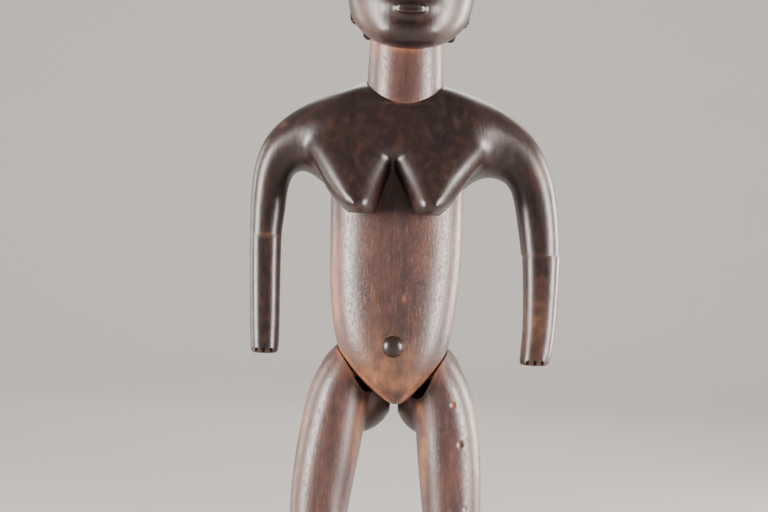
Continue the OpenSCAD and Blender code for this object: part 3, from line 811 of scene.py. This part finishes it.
studioLook = {"distance": 0.853, "lens": 100, "lookX": -7.6, "lookZ": 166.2, "roll": -2.0,
              "sideLamps": 23.0, "edgeLamps": 9.0, "backLamp": 9.0, "wallLamp": 22.0, "air": 0.0,
              "wall": (0.42, 0.42, 0.41), "lampTint": (1, 0.93, 0.88), "roomRadius": 2.5,
              "ceiling": 2.2, "floorRadius": 1.6}


def makeRoom():
    # a round wall that sweeps down into a flat pale floor
    look = studioLook
    bpy.ops.object.select_all(action="DESELECT")
    bpy.ops.mesh.primitive_circle_add(vertices=96, radius=look["roomRadius"], fill_type="NGON",
                                      location=(0, 0, look["ceiling"]))
    room = bpy.context.object
    room.name = "paleRoom"
    bpy.ops.object.mode_set(mode="EDIT")
    bpy.ops.mesh.select_all(action="SELECT")
    height, radius = look["ceiling"], look["roomRadius"]
    sweep = 0.9                     # radius of the curve where the wall meets the floor
    for step in range(9):
        angle = math.radians(90 * step / 8)
        newHeight = sweep * (1 - math.sin(angle))
        newRadius = look["floorRadius"] + sweep * math.cos(angle)
        bpy.ops.mesh.extrude_region_move(TRANSFORM_OT_translate={"value": (0, 0, newHeight - height)})
        bpy.ops.transform.resize(value=(newRadius / radius, newRadius / radius, 1))
        height, radius = newHeight, newRadius
    bpy.ops.mesh.select_all(action="SELECT")
    bpy.ops.mesh.normals_make_consistent(inside=True)
    bpy.ops.object.mode_set(mode="OBJECT")
    settle(room)
    bpy.ops.object.shade_smooth()
    paint = Paint("paleRoom")
    paint.set(Base_Color=colour(*look["wall"]), Roughness=0.9)
    room.data.materials.append(paint.material)


def lamp(turnBy, height, distance, width, tall, power, aim=(0, 0, 0.17)):
    light = bpy.data.lights.new("softLamp", "AREA")
    light.shape = "RECTANGLE"
    light.size, light.size_y = width, tall
    light.energy = power
    light.color = studioLook["lampTint"]
    holder = bpy.data.objects.new("softLamp", light)
    bpy.context.scene.collection.objects.link(holder)
    angle = math.radians(turnBy)
    holder.location = (math.sin(angle) * distance, -math.cos(angle) * distance, height + 0.17)
    holder.rotation_euler = (Vector(aim) - holder.location).to_track_quat("-Z", "Y").to_euler()


def makeCamera():
    look = studioLook
    camera = bpy.data.objects.new("camera", bpy.data.cameras.new("camera"))
    bpy.context.scene.collection.objects.link(camera)
    camera.data.lens = look["lens"]
    camera.data.sensor_width = 36
    camera.location = (look["lookX"] * mm, -look["distance"], look["lookZ"] * mm)
    camera.rotation_euler = (math.radians(90), math.radians(look["roll"]), 0)
    bpy.context.scene.camera = camera


makeRoom()
for side in (-1, 1):
    lamp(side * 69, 0.06, 0.85, 0.27, 0.42, studioLook["sideLamps"])
    lamp(side * 122, 0.1, 0.9, 0.2, 0.5, studioLook["edgeLamps"] * (1 + 0.5 * side))
lamp(180, 0.9, 1.35, 1.8, 0.6, studioLook["wallLamp"], aim=(0, 2.3, 0.0))
lamp(172, 0.75, 1.1, 0.9, 0.5, studioLook["backLamp"])
world = bpy.data.worlds.new("studio")
bpy.context.scene.world = world
world.use_nodes = True
world.node_tree.nodes["Background"].inputs["Color"].default_value = (0.75, 0.77, 0.8, 1)
world.node_tree.nodes["Background"].inputs["Strength"].default_value = studioLook["air"]
makeCamera()
print("studio set")

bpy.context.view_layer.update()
for node, (piece, slot) in pieces.items():
    print(node, len(piece.data.polygons), [round(v * 1000, 1) for v in piece.dimensions])
